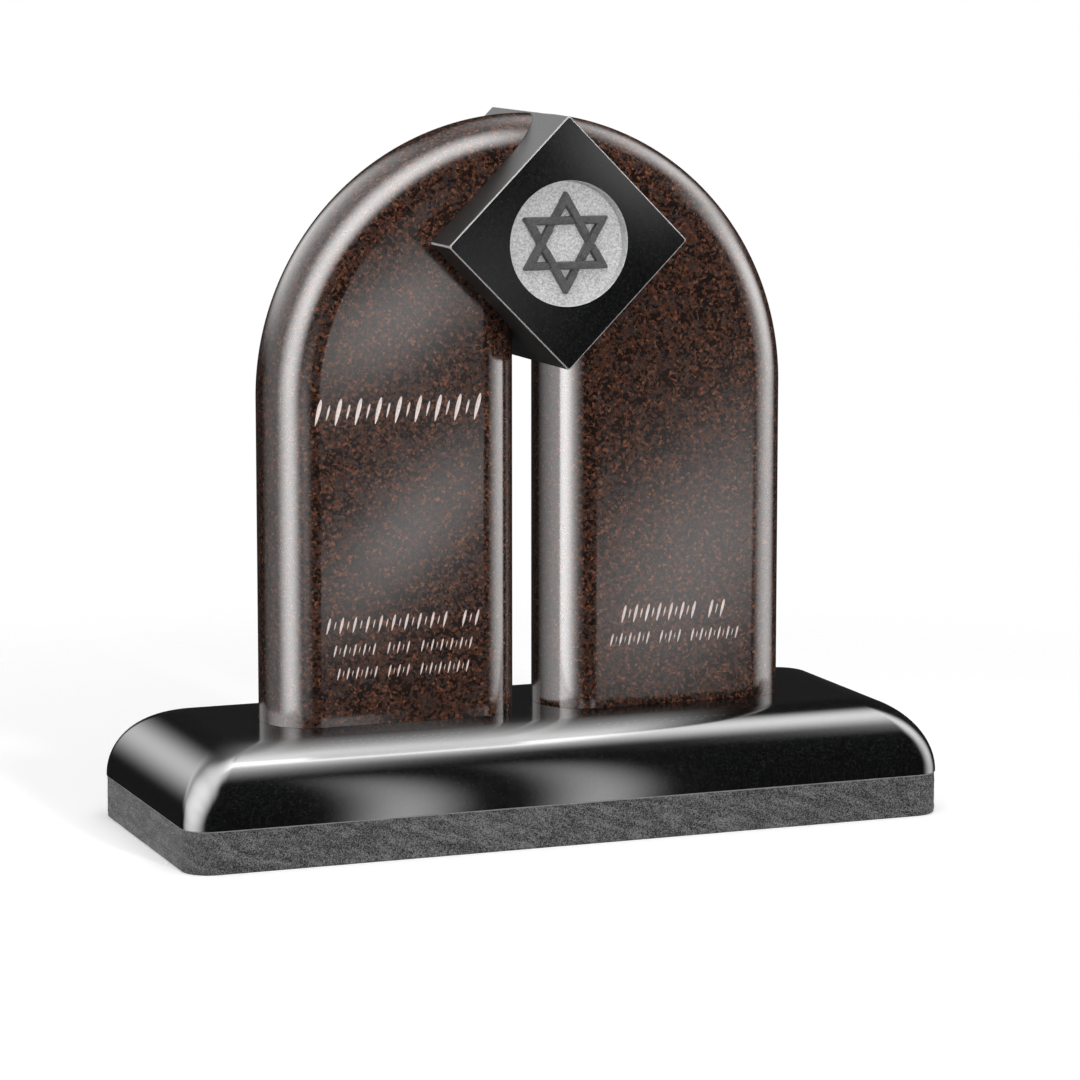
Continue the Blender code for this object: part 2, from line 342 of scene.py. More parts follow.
def stroke_mesh(name, places):
    """Every stroke as a V-shaped keel that cuts into the face: its half width and depth follow the square
    root of 1 - s * s along the stroke, from -1 at its foot to 1 at its head."""
    along = np.sin(np.linspace(-math.pi / 2, math.pi / 2, STROKE_STEPS))
    swell = np.sqrt(np.clip(1 - along[1:-1] ** 2, 0, 1)) * (1 + STROKE_SWELL * along[1:-1])
    inner = STROKE_STEPS - 2
    height = places[:, 2][:, None]
    width = height * STROKE_SLENDERNESS / 2 * swell * STROKE_FULLNESS
    depth = np.minimum(STROKE_DEPTH, height * STROKE_SLENDERNESS * STROKE_KEEL) * swell
    rise = height / 2 * along[None, :]
    z = places[:, 1][:, None] + rise
    x = places[:, 0][:, None] + rise * math.tan(STROKE_LEAN)
    front = FACE_Y - (STROKE_PROUD + 0 * width)
    right = np.stack([x[:, 1:-1] + width, front, z[:, 1:-1]], axis=-1)
    left = np.stack([x[:, 1:-1] - width, front, z[:, 1:-1]], axis=-1)
    keel = np.stack([x[:, 1:-1], FACE_Y + depth, z[:, 1:-1]], axis=-1)
    tips = np.stack([x[:, [0, -1]], front[:, :2], z[:, [0, -1]]], axis=-1)
    points = np.concatenate([right, left, keel, tips], axis=1)
    size = 3 * inner + 2
    step = np.arange(inner - 1)
    template = np.concatenate([
        np.stack([step, 2 * inner + step, 2 * inner + step + 1, step + 1], axis=-1),
        np.stack([inner + step, inner + step + 1, 2 * inner + step + 1, 2 * inner + step], axis=-1),
        np.stack([step, step + 1, inner + step + 1, inner + step], axis=-1),
    ])
    foot, head = 3 * inner, 3 * inner + 1
    last_right, last_left, last_keel = inner - 1, 2 * inner - 1, 3 * inner - 1
    ends = [(foot, 2 * inner, 0), (foot, inner, 2 * inner), (foot, 0, inner)]
    ends += [(head, last_right, last_keel), (head, last_keel, last_left), (head, last_left, last_right)]
    first = np.arange(len(places)) * size
    quads = (template[None] + first[:, None, None]).reshape(-1, 4)
    triangles = (np.array(ends)[None] + first[:, None, None]).reshape(-1, 3)
    return make_mesh(name, points.reshape(-1, 3), quads, list(triangles))


def cut(piece, mesh, material=None):
    """Cuts a mesh out of a piece at once. With a material, the new faces take it."""
    tool = bpy.data.objects.new("tool", mesh)
    if material:
        mesh.materials.append(material)
    bpy.context.scene.collection.objects.link(tool)
    change = piece.modifiers.new("cut", "BOOLEAN")
    change.operation = "DIFFERENCE"
    change.solver = "EXACT"
    change.object = tool
    change.material_mode = "TRANSFER"
    bpy.context.view_layer.update()
    depsgraph = bpy.context.evaluated_depsgraph_get()
    result = bpy.data.meshes.new_from_object(piece.evaluated_get(depsgraph), depsgraph=depsgraph)
    piece.modifiers.clear()
    piece.data = result
    bpy.data.objects.remove(tool, do_unlink=True)


def notch_mesh():
    """The square bar on its corner, a joint wider than the block, that is cut out of the tablets."""
    reach = (BLOCK_SIDE / 2 + JOINT) * math.sqrt(2)
    ring = np.array([(reach, 0), (0, reach), (-reach, 0), (0, -reach)]) + (BLOCK_X, BLOCK_Z)
    front = np.insert(ring, 1, -2 * BLOCK_Y, axis=1)
    back = np.insert(ring, 1, 2 * BLOCK_Y, axis=1)
    quads = grid_quads(2, 4)[:, ::-1]
    return make_mesh("notch", np.concatenate([front, back]), quads, [np.arange(4), np.arange(4, 8)[::-1]])


def build_tablet(name, side, rows, counts, polished, frosted):
    """A tablet with the block's notch and its rows of strokes cut out. side is 1 on the right, -1 on the
    left."""
    piece = add_piece(name, tablet_solid(name, side), [polished])
    middle = side * (ARCH_RADIUS + HALF_GAP) / 2
    cut(piece, notch_mesh())
    cut(piece, stroke_mesh("strokes", stroke_places(rows, counts, middle)), frosted)
    piece.data.shade_smooth()
    piece.data.set_sharp_from_angle(angle=math.radians(25))
    return piece


def diamond(angles, inset):
    """Distance from the block's middle to its outline at each angle: the nearest of four sides, drawn in by
    inset, and of four narrow flats across the corners."""
    to_side = angles % (math.pi / 2) - math.pi / 4
    to_corner = (angles + math.pi / 4) % (math.pi / 2) - math.pi / 4
    side = (BLOCK_SIDE / 2 - inset) / np.cos(to_side)
    flat = (BLOCK_REACH - inset * math.sqrt(2)) / np.cos(to_corner)
    return np.minimum(side, flat)


# Numbers of the block's materials: its front and back, the recess's floor and wall, the arrises, the sides.
FACE, FIELD, WALL, EDGE, SIDE = range(5)


def build_block(polished, frosted, sawn, honed):
    """The block as rings round its own middle, from the centre of the recess's floor out over the wall, the
    front face, the arris and the honed sides to the back. The floor is pecked by random heights."""
    even = np.arange(BLOCK_COLUMNS) / BLOCK_COLUMNS * 2 * math.pi
    clip = BLOCK_SIDE / math.sqrt(2) / BLOCK_REACH - 1  # half the angle that a corner's narrow flat takes
    near_corners = [corner * math.pi / 2 + turn for corner in range(4) for turn in (-clip, clip)]
    angles = np.sort(np.concatenate([even, np.array(near_corners) % (2 * math.pi)]))
    front = -BLOCK_Y
    floor = front + RECESS_DEPTH
    ones = np.ones_like(angles)
    rings = []

    def ring(reach, depth, slot):
        rings.append((reach * ones, depth * ones, slot))

    for reach in np.linspace(FIRST_REACH, RECESS_RADIUS - RECESS_FOOT, FLOOR_RINGS):
        ring(reach, floor, FIELD)
    for turn in np.linspace(0.2, 1, FOOT_RINGS) * math.pi / 2:
        reach = RECESS_RADIUS - RECESS_FOOT + RECESS_FOOT * math.sin(turn)
        ring(reach, floor - RECESS_FOOT * (1 - math.cos(turn)), WALL)
    for depth in np.linspace(floor - WALL_START, front + RECESS_RIM, WALL_RINGS):
        ring(RECESS_RADIUS, depth, WALL)
    ring(RECESS_RADIUS + RIM_STEP, front, FACE)
    outline = diamond(angles, ARRIS)
    for share in np.linspace(0, 1, FRONT_RINGS)[1:]:
        reach = RECESS_RADIUS + RECESS_RIM + (outline - RECESS_RADIUS - RECESS_RIM) * share
        ring(reach, front, EDGE if share == 1 else FACE)
    for depth in (front + ARRIS, front + 2 * ARRIS, 0, -front - 2 * ARRIS):
        ring(diamond(angles, 0), depth, SIDE)
    ring(diamond(angles, 0), -front - ARRIS, EDGE)
    ring(diamond(angles, ARRIS), -front, FACE)
    ring(diamond(angles, 4 * ARRIS), -front, FACE)

    reach = np.array([part[0] for part in rings])
    depth = np.array([part[1] for part in rings])
    x = BLOCK_X + reach * np.cos(angles)
    z = BLOCK_Z + reach * np.sin(angles)
    pecked = np.array([part[2] == FIELD for part in rings])[:, None]
    pecks = bumps(x, z, FLOOR_CELL, seed=11)
    fine_pecks = bumps(x + 3, z, FLOOR_FINE_CELL, seed=12)
    relief = FLOOR_SHARE * pecks + FLOOR_SHARE * fine_pecks
    even_edge = ease((RECESS_RADIUS - reach) / FLOOR_EVEN)
    depth = depth - pecked * FLOOR_RELIEF * np.clip(relief + 0.5, 0, 1) * even_edge
    points = np.stack([x, depth, z], axis=-1).reshape(-1, 3)
    rows, count = reach.shape
    middles = angles + np.diff(angles, append=angles[0] + 2 * math.pi) / 2
    on_corner = abs((middles + math.pi / 4) % (math.pi / 2) - math.pi / 4) < clip
    slots = np.array([part[2] for part in rings[:-1]])[:, None] + np.zeros((1, count), dtype=int)
    slots = np.where((slots == SIDE) & on_corner, EDGE, slots).ravel()
    slots = np.concatenate([slots, [FIELD, FACE]])
    caps = [np.arange(count)[::-1], np.arange((rows - 1) * count, rows * count)]
    mesh = make_mesh("block_stone", points, grid_quads(rows, count), caps, slots)
    return add_piece("block_stone", mesh, [polished, frosted, frosted, sawn, honed], sharp=25)


def star_frame(name, first_turn, material):
    """One triangle of the star: a band with worn edges, carried round three sides and three rounded tips.
    On a side a point lies at its outward distance times the side's normal plus its run along the side. Each
    side sinks by a smooth step where the other triangle's band passes over it."""
    outer = STAR_RADIUS / 2
    inner = outer - STAR_BAND
    middle = outer - STAR_BAND / 2
    edge = np.linspace(0, math.pi / 2, 5)
    shoulder = STAR_EDGE * (1 - np.cos(edge))
    drop = STAR_EDGE * (1 - np.sin(edge))
    out = np.concatenate([
        [outer + STAR_FLARE], outer - shoulder, (inner + shoulder)[::-1], [inner - STAR_FLARE],
    ])
    low = np.concatenate([[1], drop / STAR_HEIGHT, (drop / STAR_HEIGHT)[::-1], [1]])
    tip = TIP_INNER + TIP_GAIN * (out - outer + STAR_BAND) / STAR_BAND
    crossing = middle * math.tan(math.radians(30))
    low_half = STAR_BAND / 2 * (1 / math.sin(math.radians(60)) + 1 / math.tan(math.radians(60)))
    straight = np.linspace(-1, 1, 41)
    rings_x, rings_z, sink = [], [], []
    for side in range(3):
        turn = first_turn + math.radians(120) * side
        reach = math.sqrt(3) * (out - tip)
        run = straight[:, None] * reach
        rings_x.append(out * math.cos(turn) - run * math.sin(turn))
        rings_z.append(out * math.sin(turn) + run * math.cos(turn))
        away = np.abs(run + crossing) - low_half
        sink.append(1 - ease(away / STAR_SLOPE))
        bisector = turn + math.radians(60)
        for bend in np.linspace(0, 1, 7)[1:-1] * math.radians(120) + turn:
            centre = 2 * out - 2 * tip
            rings_x.append((centre * math.cos(bisector) + tip * math.cos(bend))[None])
            rings_z.append((centre * math.sin(bisector) + tip * math.sin(bend))[None])
            sink.append(np.zeros((1, len(out))))
    x, z, sink = (np.concatenate(part) for part in (rings_x, rings_z, sink))
    floor = -BLOCK_Y + RECESS_DEPTH
    height = (STAR_HEIGHT - STAR_DIP * sink) * (1 - low) + 0 * x
    height[:, [0, -1]] = -STAR_SUNK
    points = np.stack([BLOCK_X + x, floor - height, BLOCK_Z + z], axis=-1).reshape(-1, 3)
    rows, count = x.shape
    mesh = make_mesh(name, points, grid_quads(rows, count, wrap=True))
    return add_piece(name, mesh, [material], sharp=50)


# Materials.


def add_node(tree, kind, inputs=None, **settings):
    """A node with its settings, and with each named input linked to a socket or set to a value."""
    node = tree.nodes.new(kind)
    for key, value in settings.items():
        setattr(node, key, value)
    for key, value in (inputs or {}).items():
        if isinstance(value, bpy.types.NodeSocket):
            tree.links.new(value, node.inputs[key])
        else:
            node.inputs[key].default_value = value
    return node


def maths(tree, operation, first, second=0.0):
    """One step of arithmetic on numbers or sockets."""
    return add_node(tree, "ShaderNodeMath", {0: first, 1: second}, operation=operation).outputs[0]


def vector_maths(tree, operation, inputs):
    """One step of arithmetic on vectors or colours."""
    return add_node(tree, "ShaderNodeVectorMath", inputs, operation=operation).outputs[0]


def noise(tree, inputs):
    """A cloudy pattern: its number and its colour."""
    made = add_node(tree, "ShaderNodeTexNoise", inputs).outputs
    return made["Fac"], made["Color"]


def own_place(tree):
    """The place on the stone, in metres."""
    return add_node(tree, "ShaderNodeTexCoord").outputs["Object"]


def blend(tree, share, first, second):
    """Mixes two colours by a share."""
    inputs = {"Factor": share, 6: first, 7: second}
    return add_node(tree, "ShaderNodeMix", inputs, data_type="RGBA").outputs[2]


def between(tree, share, first, second):
    """Mixes two numbers by a share."""
    return add_node(tree, "ShaderNodeMix", {"Factor": share, 2: first, 3: second}).outputs[0]


def spread(tree, value, low, high, start=0.0, end=1.0):
    """Maps the range from low to high smoothly onto the range from start to end."""
    inputs = {"Value": value, "From Min": low, "From Max": high, "To Min": start, "To Max": end}
    return add_node(tree, "ShaderNodeMapRange", inputs, interpolation_type="SMOOTHSTEP").outputs[0]


def new_group(name, inputs, outputs):
    """An empty shader group. inputs are name, socket type and default; outputs are name and socket type."""
    group = bpy.data.node_groups.new(name, "ShaderNodeTree")
    for label, kind, default in inputs:
        group.interface.new_socket(label, in_out="INPUT", socket_type=kind).default_value = default
    for label, kind in outputs:
        group.interface.new_socket(label, in_out="OUTPUT", socket_type=kind)
    return group, group.nodes.new("NodeGroupInput").outputs, group.nodes.new("NodeGroupOutput")


FLOAT, COLOUR, VECTOR = "NodeSocketFloat", "NodeSocketColor", "NodeSocketVector"
BLACK = (0.0, 0.0, 0.0, 1.0)
CRYSTAL_BEND = 0.008  # how far the crystals' borders wander, in metres
# Ranges of the picks over which one colour of crystals gives way to the next.
DARK_TO_MAIN, MAIN_TO_BRIGHT, BRIGHT_TO_GREY = (0.26, 0.40), (0.60, 0.70), (0.74, 0.82)
LEAST_TONE, TONE_SPREAD = 0.65, 0.7
FLECK_FINENESS = 2.7  # flecks to a crystal's width
FLECK_CHANCE = (0.72, 0.82)
STREAK_SCALE = (16.0, 16.0, 75.0)  # streaks to a metre, along and across the saw's marks
STREAK_RANGE = (0.35, 0.68)
NOISE_SHARE, GRAIN_SHARE = 0.7, 0.4  # parts of the fine noise and of the single grains
WAVE_DEPTH = 0.002
STONE_IOR = 1.52


def crystal_group():
    """Interlocking crystals of four colours. Each cell of a bent Voronoi pattern picks one colour by its own
    random number, cloudy patches shift the picks, and small dark flecks lie over them."""
    group, given, made = new_group(
        "granite crystals",
        [("Crystals per metre", FLOAT, 150.0), ("Patchiness", FLOAT, 0.2), ("Flecks", FLOAT, 0.3),
         ("Dark", COLOUR, BLACK), ("Main", COLOUR, BLACK),
         ("Bright", COLOUR, BLACK), ("Grey", COLOUR, BLACK)],
        [("Colour", COLOUR), ("Pick", FLOAT)],
    )
    place = own_place(group)
    _, bend = noise(group, {"Vector": place, "Scale": 130.0, "Detail": 2.0})
    shift = vector_maths(group, "SUBTRACT", {0: bend, 1: (0.5, 0.5, 0.5)})
    shift = vector_maths(group, "SCALE", {0: shift, "Scale": CRYSTAL_BEND})
    bent = vector_maths(group, "ADD", {0: place, 1: shift})
    cells = add_node(group, "ShaderNodeTexVoronoi", {"Vector": bent, "Scale": given["Crystals per metre"]})
    random = add_node(group, "ShaderNodeSeparateColor", {"Color": cells.outputs["Color"]}).outputs
    cloud, _ = noise(group, {"Vector": place, "Scale": 34.0, "Detail": 3.0})
    lean = maths(group, "MULTIPLY", maths(group, "SUBTRACT", cloud, 0.5), given["Patchiness"])
    pick = maths(group, "ADD", random["Red"], lean)
    colour = blend(group, spread(group, pick, *DARK_TO_MAIN), given["Dark"], given["Main"])
    colour = blend(group, spread(group, pick, *MAIN_TO_BRIGHT), colour, given["Bright"])
    colour = blend(group, spread(group, pick, *BRIGHT_TO_GREY), colour, given["Grey"])
    tone = maths(group, "ADD", maths(group, "MULTIPLY", random["Green"], TONE_SPREAD), LEAST_TONE)
    colour = vector_maths(group, "SCALE", {0: colour, "Scale": tone})
    small = maths(group, "MULTIPLY", given["Crystals per metre"], FLECK_FINENESS)
    flecks = add_node(group, "ShaderNodeTexVoronoi", {"Vector": bent, "Scale": small})
    chance = add_node(group, "ShaderNodeSeparateColor", {"Color": flecks.outputs["Color"]}).outputs["Blue"]
    fleck = maths(group, "MULTIPLY", spread(group, chance, *FLECK_CHANCE), given["Flecks"])
    colour = blend(group, fleck, colour, given["Dark"])
    group.links.new(colour, made.inputs["Colour"])
    group.links.new(pick, made.inputs["Pick"])
    return group


def polish_group():
    """A polished face: crystals take the polish unevenly, and the face keeps faint long waves."""
    group, given, made = new_group(
        "stone polish",
        [("Roughness", FLOAT, 0.1), ("Uneven", FLOAT, 0.04), ("Pick", FLOAT, 0.5), ("Waves", FLOAT, 0.1)],
        [("Roughness", FLOAT), ("Normal", VECTOR)],
    )
    place = own_place(group)
    haze, _ = noise(group, {"Vector": place, "Scale": 9.0, "Detail": 4.0})
    from_pick = maths(group, "MULTIPLY", given["Pick"], 0.5)
    share = maths(group, "ADD", from_pick, maths(group, "MULTIPLY", haze, 0.5))
    rough = maths(group, "ADD", given["Roughness"], maths(group, "MULTIPLY", share, given["Uneven"]))
    wave, _ = noise(group, {"Vector": place, "Scale": 5.0, "Detail": 1.0})
    inputs = {"Strength": given["Waves"], "Distance": WAVE_DEPTH, "Height": wave}
    bump = add_node(group, "ShaderNodeBump", inputs)
    group.links.new(rough, made.inputs["Roughness"])
    group.links.new(bump.outputs["Normal"], made.inputs["Normal"])
    return group


def frost_group():
    """A frosted or sawn face: fine pale and dark grains with pits between them."""
    group, given, made = new_group(
        "frosted grain",
        [("Grains per metre", FLOAT, 400.0), ("Pale", COLOUR, BLACK), ("Deep", COLOUR, BLACK),
         ("Streaks", FLOAT, 0.0), ("Low", FLOAT, 0.25), ("High", FLOAT, 0.85)],
        [("Colour", COLOUR), ("Height", FLOAT)],
    )
    place = own_place(group)
    scale = given["Grains per metre"]
    fine, _ = noise(group, {"Vector": place, "Scale": scale, "Detail": 3.0, "Roughness": 0.65})
    coarser = maths(group, "MULTIPLY", scale, 0.9)
    cells = add_node(group, "ShaderNodeTexVoronoi", {"Vector": place, "Scale": coarser})
    grain = add_node(group, "ShaderNodeSeparateColor", {"Color": cells.outputs["Color"]}).outputs["Red"]
    turned = add_node(group, "ShaderNodeMapping", {"Vector": place, "Rotation": (0.0, -STREAK_SLANT, 0.0)})
    drawn = add_node(group, "ShaderNodeMapping", {"Vector": turned.outputs[0], "Scale": STREAK_SCALE})
    streak, _ = noise(group, {"Vector": drawn.outputs[0], "Scale": 1.0, "Detail": 4.0, "Distortion": 0.6})
    streak = spread(group, streak, *STREAK_RANGE, start=-0.5, end=0.5)
    speckle = maths(group, "MULTIPLY", grain, GRAIN_SHARE)
    mix = maths(group, "ADD", maths(group, "MULTIPLY", fine, NOISE_SHARE), speckle)
    mix = maths(group, "ADD", mix, maths(group, "MULTIPLY", streak, given["Streaks"]))
    colour = blend(group, spread(group, mix, given["Low"], given["High"]), given["Deep"], given["Pale"])
    group.links.new(colour, made.inputs["Colour"])
    group.links.new(mix, made.inputs["Height"])
    return group


def use_group(tree, group, inputs):
    """A shared group with its inputs linked or set."""
    return add_node(tree, "ShaderNodeGroup", inputs, node_tree=group).outputs


def grey(value, tint=(1.0, 1.0, 1.0)):
    """A grey of the given value, coloured a little by a tint."""
    return (value * tint[0], value * tint[1], value * tint[2], 1.0)


def new_material(name):
    """A material with a stone's index of refraction, its tree and its shader."""
    material = bpy.data.materials.new(name)
    material.use_nodes = True
    tree = material.node_tree
    shader = tree.nodes["Principled BSDF"]
    shader.inputs["IOR"].default_value = STONE_IOR
    return material, tree, shader


def feed(tree, shader, **sockets):
    """Links sockets to the shader's inputs of the same names, with _ for a space."""
    for key, value in sockets.items():
        tree.links.new(value, shader.inputs[key.replace("_", " ")])


def black_crystals(tree, crystals):
    """Very dark crystals with faint grey-green ones among them."""
    return use_group(tree, crystals, {
        "Crystals per metre": 520.0, "Patchiness": 0.25, "Flecks": 0.5, "Dark": grey(0.0015),
        "Main": grey(0.0028, (0.95, 1.0, 0.98)), "Bright": grey(0.0060, (0.9, 1.0, 0.96)),
        "Grey": grey(0.0120, (0.95, 1.0, 1.0)),
    })


def black_granite(crystals, polish):
    """The polished part of the base, and the block's front and back."""
    material, tree, shader = new_material("polished black granite")
    stone = black_crystals(tree, crystals)
    face = use_group(tree, polish, {"Roughness": 0.11, "Uneven": 0.03, "Pick": stone["Pick"], "Waves": 0.04})
    feed(tree, shader, Base_Color=stone["Colour"], Roughness=face["Roughness"], Normal=face["Normal"])
    return material


def honed_granite(crystals):
    """The block's sides: the same stone honed to a soft dark grey."""
    material, tree, shader = new_material("honed black granite")
    stone = use_group(tree, crystals, {
        "Crystals per metre": 520.0, "Patchiness": 0.25, "Flecks": 0.4, "Dark": grey(0.006),
        "Main": grey(0.011, (0.95, 1.0, 0.99)), "Bright": grey(0.018, (0.94, 1.0, 0.98)),
        "Grey": grey(0.028, (0.95, 1.0, 1.0)),
    })
    feed(tree, shader, Base_Color=stone["Colour"])
    shader.inputs["Roughness"].default_value = 0.34
    return material


def sawn_band(frost):
    """The rough foot of the base: sawn grey with a pale line on the lip above it."""
    material, tree, shader = new_material("sawn granite band")
    height = add_node(tree, "ShaderNodeSeparateXYZ", {"Vector": own_place(tree)}).outputs["Z"]
    lip_foot = BAND_HEIGHT - LIP_HEIGHT
    lip = spread(tree, height, lip_foot - LIP_BLUR, lip_foot + LIP_BLUR)
    sawn = use_group(tree, frost, {
        "Grains per metre": 700.0, "Pale": grey(0.25), "Deep": grey(0.010),
        "Streaks": 0.14, "Low": 0.34, "High": 0.90,
    })
    bump = add_node(tree, "ShaderNodeBump", {"Strength": 0.9, "Distance": 0.0012, "Height": sawn["Height"]})
    colour = blend(tree, lip, sawn["Colour"], grey(0.30))
    feed(tree, shader, Base_Color=colour, Normal=bump.outputs["Normal"])
    shader.inputs["Roughness"].default_value = 0.85
    shader.inputs["Specular IOR Level"].default_value = 0.12
    return material


def mahogany_granite(crystals, polish):
    """The tablets: red-brown crystals among grey and black ones."""
    material, tree, shader = new_material("polished mahogany granite")
    stone = use_group(tree, crystals, {
        "Crystals per metre": 190.0, "Patchiness": 1.3, "Flecks": 0.7,
        "Dark": (0.0110, 0.0062, 0.0048, 1.0), "Main": (0.0640, 0.0255, 0.0150, 1.0),
        "Bright": (0.1500, 0.0560, 0.0300, 1.0), "Grey": (0.0380, 0.0265, 0.0245, 1.0),
    })
    face = use_group(tree, polish, {"Roughness": 0.12, "Uneven": 0.04, "Pick": stone["Pick"], "Waves": 0.04})
    feed(tree, shader, Base_Color=stone["Colour"], Roughness=face["Roughness"], Normal=face["Normal"])
    return material


def frosted_stone(name, frost, grains, pale, deep, depth):
    """Unpolished stone, as in carved strokes and sunk fields."""
    material, tree, shader = new_material(name)
    face = use_group(tree, frost, {"Grains per metre": grains, "Pale": pale, "Deep": deep})
    bump = add_node(tree, "ShaderNodeBump", {"Strength": 0.8, "Distance": depth, "Height": face["Height"]})
    feed(tree, shader, Base_Color=face["Colour"], Normal=bump.outputs["Normal"])
    shader.inputs["Roughness"].default_value = 0.8
    return material


def honed_star(frost):
    """The star: fine-grained dark grey, smoother than the field behind it."""
    material, tree, shader = new_material("honed dark grey granite")
    face = use_group(tree, frost, {"Grains per metre": 500.0, "Pale": grey(0.135), "Deep": grey(0.065)})
    bump = add_node(tree, "ShaderNodeBump", {"Strength": 0.3, "Distance": 0.0003, "Height": face["Height"]})
    feed(tree, shader, Base_Color=face["Colour"], Normal=bump.outputs["Normal"])
    shader.inputs["Roughness"].default_value = 0.42
    return material


# Studio.


# Lamps that light matt surfaces: name, place, aim, size and watts.
LAMPS = (
    ("key", (0.55, -5.9, 1.95), (0.0, 0.0, 0.75), (0.45, 0.45), 150.0),
    ("overhead", (0.0, -0.6, 3.4), (0.0, 0.0, 0.0), (3.2, 3.2), 55.0),
    ("back_fill", (-2.5, 4.5, 2.6), (0.0, 0.0, 0.6), (2.0, 2.0), 12.0),
)
ROOM_GLOW = 0.03  # what polish shows of the room
ROOM_FILL = 0.45  # what the room gives to matt surfaces
PATCH_AXIS, PATCH_WIDTH, PATCH_GLOW = (-0.42, 0.82, 0.38), 0.36, 3.7
PATCH_RIGHT = (0.08, -0.25)  # the patch is gone to the right of the first and full to the left of the second
PATCH_FOOT = (-0.03, 0.30)  # and it is gone below the first and full above the second

# Cards of light that only polish shows. A card fades inwards from its left, right, lower and upper edges over
# the given shares.
ALL_SOFT = (0.5, 0.5, 0.5, 0.5)
CARD_DISTANCE = 5.0
ARCH_MIDDLE = (0.0, 0.0, 0.55)
ARCH_STEP = math.radians(25)
# Angle, brightness, place forward or back and depth of the arches' cards.
UPPER_ARCH = (
    (-10, 6.5, -0.34, 0.80), (15, 9.0, -0.16, 0.60), (40, 5.0, 0.20, 0.55), (65, 2.0, 0.40, 0.55),
    (90, 12.0, -0.26, 0.48), (115, 13.5, -0.36, 0.56), (140, 13.5, -0.37, 0.56), (165, 12.5, -0.38, 0.58),
    (190, 11.5, -0.38, 0.60),
)
UPPER_GLOW = (
    (90, 1.0, 0.0, 1.3), (115, 1.5, 0.0, 1.3), (140, 1.5, 0.0, 1.3), (165, 1.5, 0.0, 1.3),
    (190, 1.5, 0.0, 1.3),
)
BASE_ARCH = (
    (-10, 6.0, -0.20, 0.60), (15, 8.0, -0.15, 0.60), (40, 11.0, -0.05, 0.55), (65, 11.5, 0.10, 0.45),
    (90, 11.5, 0.00, 0.70), (115, 13.5, -0.13, 1.25), (140, 16.0, -0.15, 1.35), (165, 15.5, -0.14, 1.30),
    (190, 12.5, -0.15, 1.10),
)
# Cards in front, whose reflections lie as soft patches on the faces: middle in X and Z, length and width,
# brightness and slant in degrees.
FRONT_CARD_Y = -2.5
LEFT_CARDS = ((0.578, 0.205, (1.12, 0.29), 5.4, 42), (0.540, 0.740, (0.96, 0.31), 5.4, 33))
RIGHT_CARDS = ((1.36, 0.10, (1.40, 0.76), 3.4, 45),)
BLOCK_CARDS = (
    (1.06, 1.14, (0.60, 0.26), 3.0, -45),
    (0.70, 0.84, (0.60, 0.60), 0.7, 0),
)
# A wide card in front on the left, whose dull reflection lies on the upper stones.
SIDE_CARD = {"place": (-1.7, -2.5, 0.4), "size": (2.4, 2.6), "glow": 2.2, "soft": ALL_SOFT}
# Two narrow cards that draw the soft patches on the front of the base.
TALL_CARD_PLACES = ((-0.19, -0.75, 0.50), (0.22, -0.75, 0.50))
TALL_CARD = {"size": (0.34, 1.30), "glow": 6.5, "soft": (0.5, 0.5, 0.0, 0.9)}
# A card that leans forward from the tablets' feet past the block's front, and draws the base's pale band.
BAND_CARD = {
    "place": (-0.17, -0.199, 0.81),
    "size": (1.20, 1.20),
    "glow": 10.0,
    "soft": (0.2, 0.25, 0.28, 0.32),
}
BAND_CARD_LEAN = math.radians(9)
# A card in the gap, where the left tablet would darken the right one's edge. It faces right.
GAP_CARD = {"place": (-0.02, -0.11, 0.50), "size": (0.34, 0.95), "glow": 5.5, "soft": (0.5, 0.5, 0.1, 0.1)}
GAP_CARD_FACING = ((0, -1, 0), (0, 0, 1), (-1, 0, 0))


def lobe(tree, way, axis, width, strength):
    """A soft round patch of light in the sky: strength times e to (cosine - 1) / width squared."""
    axis = np.array(axis) / np.linalg.norm(axis)
    dot = add_node(tree, "ShaderNodeVectorMath", {0: way, 1: tuple(axis)}, operation="DOT_PRODUCT")
    power = maths(tree, "MULTIPLY", maths(tree, "SUBTRACT", dot.outputs["Value"], 1.0), 1 / width ** 2)
    return maths(tree, "MULTIPLY", maths(tree, "EXPONENT", power), strength)


def back_patch(tree, way):
    """A soft patch of light low behind on the left, cut off towards the right and below the horizon. The
    base's left end and the block's upper left side show it."""
    x, _, z = add_node(tree, "ShaderNodeSeparateXYZ", {"Vector": way}).outputs
    patch = lobe(tree, way, PATCH_AXIS, PATCH_WIDTH, PATCH_GLOW)
    fade = maths(tree, "MULTIPLY", spread(tree, x, *PATCH_RIGHT), spread(tree, z, *PATCH_FOOT))
    return maths(tree, "MULTIPLY", patch, fade)


def build_sky():
    """Plain white to the camera, even grey to matt surfaces, and for reflections a dark room with a soft
    patch of light behind on the left."""
    world = bpy.data.worlds.new("studio")
    bpy.context.scene.world = world
    world.use_nodes = True
    tree = world.node_tree
    tree.nodes.clear()
    way = add_node(tree, "ShaderNodeTexCoord").outputs["Generated"]
    path = add_node(tree, "ShaderNodeLightPath").outputs
    glow = maths(tree, "ADD", back_patch(tree, way), ROOM_GLOW)
    level = between(tree, path["Is Glossy Ray"], ROOM_FILL, glow)
    level = between(tree, path["Is Camera Ray"], level, 1.0)
    sky = add_node(tree, "ShaderNodeBackground", {"Color": grey(1.0), "Strength": level})
    out = add_node(tree, "ShaderNodeOutputWorld")
    tree.links.new(sky.outputs[0], out.inputs[0])


